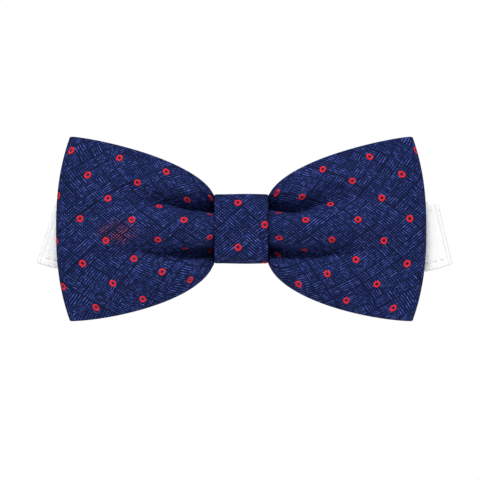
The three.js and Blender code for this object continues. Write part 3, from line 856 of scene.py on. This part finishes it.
# ---------------- neckband
STRAP = 0.8
STRAP_HALF = 10.4
STITCH_INSET = 2.6  # from each long edge
STITCH_STEP = 2.4
STITCH_LENGTH = 1.75
STITCH_RADIUS = 0.13
STITCH_POINTS = 6
PINCH_HALF = 8.2  # half width of the strap inside the knot
OTHER_FACE = 40  # keeps the weave of a strap's two faces apart
FOLD_REACH = 1.1  # from a fold's axis to the strap's outer edge
RUN_STEPS = 40
TURN_STEPS = 16
RETURN_LENGTH = 9.0  # strap sewn back behind the hook
SEWN_LENGTH = 3.5  # strap sewn down in front of the adjuster
TACK_PITCH = 0.75
TACK_RADIUS = 0.16
TACK_STAND_OFF = 0.1
METAL_EDGE = 0.18
END_RUN_Z = -1.5
SEAM = 0.012  # between a run and the turn that it goes on as
SLOPES = {"left": math.tan(math.radians(19)), "right": math.tan(math.radians(21))}
CORNERS = {"left": (1.4, 0.8), "right": (3.0, 0.9)}  # rounding of the tab's upper and lower corners
JOINTS = {joint["name"]: joint for joint in frame["joints"]}


def joint_place(name):
    return np.array(JOINTS[name]["pos_m"]) / MM


class Side:
    """Where one side's folds are, from its joints and nodes."""

    def __init__(self, name):
        self.name = name
        self.sign = -1 if name == "left" else 1
        self.fold = joint_place(name + "_outer_unfold")
        axis = JOINTS[name + "_outer_unfold"]["axis"]
        self.lean = math.atan2(abs(axis[0]), abs(axis[2]))
        self.up = np.array((-self.sign * math.sin(self.lean), 0, math.cos(self.lean)))
        self.out = np.array((self.sign * math.cos(self.lean), 0, math.sin(self.lean)))
        self.inner = joint_place(name + "_inner_unfold")
        self.a_y = middle_y("neckband_centre")
        self.b_y = middle_y(name + "_middle_run")
        self.c_y = 2 * self.inner[1] - self.b_y
        low, high = box_mm(name + "_outer_fold")
        bead = (high[1] - low[1]) / 2
        self.half = ((high[2] - low[2]) / 2 - bead * math.sin(self.lean)) / math.cos(self.lean)


def middle_y(node):
    low, high = box_mm(node)
    return (low[1] + high[1]) / 2


class Path:
    """Stations along a strap: a point, the direction across it, and its half widths up and down."""

    def __init__(self):
        self.rows = []

    def add(self, point, up, high, low=None):
        self.rows.append((np.array(point, float), np.array(up, float), high, low or high))

    def arrays(self):
        return [np.array(column) for column in zip(*self.rows)]

    def reversed(self):
        other = Path()
        other.rows = self.rows[::-1]
        return other


def corner_trim(distance, radius):
    """How much a rounded corner takes off the half width, this far from the strap's outer edge."""
    left = max(radius - distance, 0)
    return radius - math.sqrt(radius * radius - left * left)


def run_to_fold(side, y, start_x, start_z, slope, half_at):
    """A run behind the bow, from start_x to its outer fold, turning to lie square to the fold."""
    path = Path()
    end_x = abs(side.fold[0]) - SEAM
    span = end_x - start_x
    for share in np.linspace(0, 1, RUN_STEPS + 1):
        x = mix(start_x, end_x, share)
        eased = smooth(share)
        z = mix(start_z, side.fold[2], eased) + (share ** 3 - share ** 2) * slope * span
        lean = -side.sign * side.lean * eased
        half = half_at(eased)
        beyond = (end_x - x) / math.cos(side.lean) + FOLD_REACH
        trims = [corner_trim(beyond, r) for r in CORNERS[side.name]]
        up = (math.sin(lean), 0, math.cos(lean))
        path.add((side.sign * x, y, z), up, half - trims[0], half - trims[1])
    return path


def outer_turn(side):
    """The strap's turn at the fold that shows as the tab's edge."""
    path = Path()
    radius = (side.b_y - side.a_y) / 2
    centre = np.array((side.fold[0], (side.a_y + side.b_y) / 2, side.fold[2]))
    for angle in np.radians(np.linspace(-90, 90, 33)):
        out = radius * math.cos(angle)
        trims = [corner_trim(FOLD_REACH - out, r) for r in CORNERS[side.name]]
        point = centre + side.out * out + np.array((0, radius * math.sin(angle), 0))
        path.add(point, side.up, side.half - trims[0], side.half - trims[1])
    return path


def flat_turn(centre_x, centre_y, radius, out):
    """Half a turn about an upright axis, front to back, bulging to the side that out gives."""
    path = Path()
    for angle in np.radians(np.linspace(-90, 90, TURN_STEPS + 1)):
        x = centre_x + out * radius * math.cos(angle)
        path.add((x, centre_y + radius * math.sin(angle), END_RUN_Z), (0, 0, 1), STRAP_HALF)
    return path


def straight(x0, x1, y, steps):
    path = Path()
    for x in np.linspace(x0, x1, steps + 1):
        path.add((x, y, END_RUN_Z), (0, 0, 1), STRAP_HALF)
    return path


def joined(*paths):
    """One path of several, with no station twice where they meet."""
    whole = Path()
    for path in paths:
        for row in path.rows:
            if whole.rows and np.linalg.norm(whole.rows[-1][0] - row[0]) < 1e-6:
                continue
            whole.rows.append(row)
    return whole


def ribbon_frame(path):
    """The path's arrays, its unit normals and the length along it."""
    points, ups, highs, lows = path.arrays()
    tangent = np.gradient(points, axis=0, edge_order=2)
    normal = np.cross(tangent, ups)
    normal /= np.linalg.norm(normal, axis=1, keepdims=True)
    return points, ups, highs, lows, normal, reach_along(points)


def ribbon(name, path):
    """A flat strap along a path, with rounded edges, hem ridges and a dent along its stitching."""
    points, ups, highs, lows, normal, along = ribbon_frame(path)
    across = np.linspace(-1, 1, 45)
    across = mix(np.sin(across * math.pi / 2), across, 0.35)
    count = len(across)
    grid = np.zeros((len(points), 2 * count - 2, 3))
    uv = np.zeros((len(points), 2 * count - 1, 2))
    from_end = smooth(np.minimum(along, along[-1] - along) / 3)
    for j in range(2 * count - 2):
        face = 1 if j < count else -1
        w = across[j] if face > 0 else across[2 * count - 2 - j]
        half = np.where(w > 0, highs, lows)
        inset = (1 - abs(w)) * half
        thick = STRAP / 2 * rim_shape(inset / 0.45)
        thick = thick * (1 - 0.3 * np.exp(-((inset - STITCH_INSET) / 0.35) ** 2))
        thick = thick * (1 - 0.12 * smooth((inset - STITCH_INSET - 0.5) / 0.8))
        ripple = 0.035 * np.sin(along * 1.9 + 5 * w) * smooth(1 - inset / 4) * from_end
        offset = face * thick + ripple
        grid[:, j] = points + ups * (w * half)[:, None] + normal * offset[:, None]
        uv[:, j, 0] = along
        uv[:, j, 1] = w * half + face * OTHER_FACE
    uv[:, -1] = uv[:, 0]
    return grid_object(name, grid, WHITE_BAND, False, uv)


def hem_stitches(name, path):
    """Small stitches in a line along both edges of a strap, on both of its faces."""
    points, ups, highs, lows, normal, _ = ribbon_frame(path)
    paths = []
    for face in (1, -1):
        for edge, half in ((1, highs), (-1, lows)):
            line = points + ups * (edge * (half - STITCH_INSET))[:, None]
            line = line + normal * (face * STRAP / 2 * 0.74)
            reach = reach_along(line)
            count = int(reach[-1] / STITCH_STEP)
            slack = (reach[-1] - count * STITCH_STEP + STITCH_STEP - STITCH_LENGTH) / 2
            for i in range(count):
                at = slack + i * STITCH_STEP + np.linspace(0, STITCH_LENGTH, STITCH_POINTS)
                out = sampled(normal, reach, at)
                lift = 0.12 * np.sin(np.linspace(0, math.pi, STITCH_POINTS)) - 0.02
                paths.append(sampled(line, reach, at) + out * (face * lift)[:, None])
    return threads(name, paths, STITCH_RADIUS, WHITE_THREAD)


def strap_piece(name, path, place, node, flat=True):
    """A length of strap and its stitching, both placed by the same function."""
    cloth = ribbon(name, path)
    stitching = hem_stitches(name + "_stitching", path)
    for piece, slot in ((cloth, "white_band"), (stitching, "white_thread")):
        place(piece)
    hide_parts(node)
    if flat:
        _, _, highs, lows, _, along = ribbon_frame(path)


def ride_on(body):
    return lambda piece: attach(piece, body)


def bend_between():
    return lambda piece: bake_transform(piece)


def centre_half(side):
    """The run behind the bow from the knot, where it is pinched, to one side's fold."""
    def half_at(eased):
        return mix(PINCH_HALF, side.half, smooth(4 * eased))

    return run_to_fold(side, side.a_y, KNOT_HALF + 1, 0.0, SLOPES[side.name], half_at)


def build_centre(left, right):
    whole = joined(centre_half(left).reversed(), centre_half(right))
    strap_piece("neckband_middle", whole, ride_on("bow"), "neckband_centre")


def build_folded_runs(side):
    """The outer turn, the run that goes back behind the bow, and the inner turn."""
    name = side.name
    middle = name + "_middle"
    turn = outer_turn(side)
    place = bend_between()
    strap_piece(name + "_outer_turn", turn, place, name + "_outer_fold", flat=False)

    inner_x = abs(side.inner[0])
    slope = math.tan(2 * side.lean - math.atan(SLOPES[name]))

    def half_at(eased):
        return mix(STRAP_HALF, side.half, eased)

    run = run_to_fold(side, side.b_y, inner_x + SEAM, END_RUN_Z, slope, half_at)
    strap_piece(middle + "_strap", run, ride_on(middle), middle + "_run")

    radius = (side.c_y - side.b_y) / 2
    turn = flat_turn(side.inner[0], side.inner[1], radius, -side.sign)
    place = bend_between()
    strap_piece(name + "_inner_turn", turn, place, name + "_inner_fold", flat=False)


def bar_tack(name, front_y, back_y, node, body):
    """Closed loops of thread that hold two layers together, side by side across the strap.
    front_y and back_y are the middles of the two layers."""
    low, high = box_mm(node)
    x0, x1 = low[0], high[0]
    front = front_y - STRAP / 2 - TACK_STAND_OFF
    back = back_y + STRAP / 2 + TACK_STAND_OFF
    corners = [(x0, back), (x1, back), (x1, front), (x0, front)]
    paths = []
    for z in np.arange(low[2] + 0.5, high[2], TACK_PITCH):
        loop = []
        for here, following in zip(corners, corners[1:] + corners[:1]):
            for share in (0.12, 0.5, 0.88):
                x, y = (mix(a, b, share) for a, b in zip(here, following))
                loop.append((x, y, z))
        paths.append(loop)
    tack = threads(name, paths, TACK_RADIUS, WHITE_THREAD, closed=True)
    put_on(tack, body, node)


def build_left_end(side):
    """The left end, looped round the hook's bar and sewn down."""
    return_y = box_mm("left_end_run")[1][1] - STRAP / 2
    bar_x = joint_place("hook_swivel")[0]
    bar_y = (side.c_y + return_y) / 2
    run = joined(
        straight(side.inner[0] - SEAM, bar_x, side.c_y, 30),
        flat_turn(bar_x, bar_y, (return_y - side.c_y) / 2, -1),
        straight(bar_x, bar_x + RETURN_LENGTH, return_y, 8),
    )
    strap_piece("left_end_strap", run, ride_on("left_end"), "left_end_run")
    bar_tack("left_bar_tack", side.c_y, return_y, "left_end_tack", "left_end")


def build_right_end(side):
    """The right end: on to the eye, round its bar, and back to be sewn round the adjuster's bar."""
    low, high = box_mm("right_return_run")
    return_y = high[1] - STRAP / 2
    wrap = (high[1] - low[1] - STRAP) / 2
    leg_x = box_mm("eye_loop")[0][0]
    inner_x = abs(side.inner[0]) + SEAM

    def shorten(piece):
        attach(piece, "right_end")
        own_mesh(piece)

    run = straight(inner_x, leg_x - SEAM, side.c_y, RUN_STEPS)
    strap_piece("right_end_strap", run, shorten, "right_end_run")

    eye_x = joint_place("eye_swivel")[0]
    loop_y = (side.c_y + return_y) / 2
    loop = joined(
        straight(leg_x, eye_x, side.c_y, 2),
        flat_turn(eye_x, loop_y, (return_y - side.c_y) / 2, 1),
        straight(eye_x, leg_x, return_y, 2),
    )
    strap_piece("eye_loop_strap", loop, ride_on("eye_turn"), "eye_loop")

    adjuster_low, adjuster_high = box_mm("slide_adjuster")
    bar_x = (adjuster_low[0] + adjuster_high[0]) / 2
    front_y = return_y - 2 * wrap
    back = joined(
        straight(adjuster_high[0] + SEWN_LENGTH, bar_x, front_y, 8),
        flat_turn(bar_x, return_y - wrap, wrap, -1),
        straight(bar_x, leg_x - SEAM, return_y, 24),
    )
    place = bend_between()
    strap_piece("right_return_strap", back, place, "right_return_run")
    bar_tack("return_bar_tack", front_y, return_y, "return_tack", "adjuster")


def bevelled_metal(name, node, body):
    """A copy of a metal fitting with its edges eased."""
    mesh = frame["nodes"][node].data.copy()
    mesh.materials.clear()
    mesh.materials.append(NICKEL)
    metal = linked(name, mesh)
    weld = metal.modifiers.new("weld", "WELD")
    weld.merge_threshold = 0.01 * MM
    bevel = metal.modifiers.new("bevel", "BEVEL")
    bevel.width = METAL_EDGE * MM
    bevel.segments = 3
    bevel.limit_method = "ANGLE"
    bevel.angle_limit = math.radians(35)
    bpy.context.view_layer.update()
    evaluated = metal.evaluated_get(bpy.context.evaluated_depsgraph_get())
    finished = bpy.data.meshes.new_from_object(evaluated)
    metal.modifiers.clear()
    metal.data = finished
    finished.polygons.foreach_set("use_smooth", [False] * len(finished.polygons))
    put_on(metal, body, node)


build_bow()
build_knot()
build_gathering()
build_padding()
build_hand_stitches()
LEFT = Side("left")
RIGHT = Side("right")
build_centre(LEFT, RIGHT)
build_folded_runs(LEFT)
build_folded_runs(RIGHT)
build_left_end(LEFT)
build_right_end(RIGHT)
bevelled_metal("strap_hook", "hook", "hook")
bevelled_metal("strap_eye", "eye_ring", "eye")
bevelled_metal("strap_adjuster", "slide_adjuster", "adjuster")


# ---------------- studio
AMBIENT = 0.25  # the white surround as light; the camera sees it as white
KEY_POWER = 47
FILL_POWER = 3.3
BACK_POWER = 11.5
FLOOR_Z = -0.22  # the studio's lengths are in metres
CAMERA_PLACE = (-0.0004, -1.6, -0.0036)


def build_studio():
    bpy.ops.mesh.primitive_circle_add(vertices=96, radius=2.5, fill_type="NGON")
    floor = bpy.context.object
    floor.name = "studio_floor"
    floor.location = (0, 0, FLOOR_Z)
    n = Nodes("pale_floor")
    n.set(Base_Color=(0.9, 0.9, 0.9, 1), Roughness=0.9)
    floor.data.materials.append(n.material)

    world = bpy.data.worlds.new("studio")
    world.use_nodes = True
    tree = world.node_tree
    background = tree.nodes["Background"]
    background.inputs[0].default_value = (1, 1, 1, 1)
    seen = tree.nodes.new("ShaderNodeLightPath")
    strength = tree.nodes.new("ShaderNodeMapRange")
    strength.inputs["To Min"].default_value = AMBIENT
    strength.inputs["To Max"].default_value = 1.0
    tree.links.new(seen.outputs["Is Camera Ray"], strength.inputs["Value"])
    tree.links.new(strength.outputs["Result"], background.inputs[1])
    bpy.context.scene.world = world
    bpy.context.scene.view_settings.view_transform = "Standard"

    def area(name, place, size, power):
        light = bpy.data.lights.new(name, "AREA")
        light.shape = "DISK"
        light.size = size
        light.energy = power
        lamp = linked(name, light)
        lamp.location = place
        direction = -lamp.location
        lamp.rotation_euler = direction.to_track_quat("-Z", "Y").to_euler()

    area("key", (-0.10, -1.12, 1.54), 0.6, KEY_POWER)
    area("fill", (0.90, -1.50, 0.30), 0.8, FILL_POWER)
    area("back", (0.50, 1.40, 0.90), 0.9, BACK_POWER)


def build_camera():
    data = bpy.data.cameras.new("camera")
    data.lens = 370
    data.sensor_width = 36
    camera = linked("camera", data)
    camera.location = CAMERA_PLACE
    camera.rotation_euler = (math.pi / 2, 0, 0)
    bpy.context.scene.camera = camera


build_studio()
build_camera()
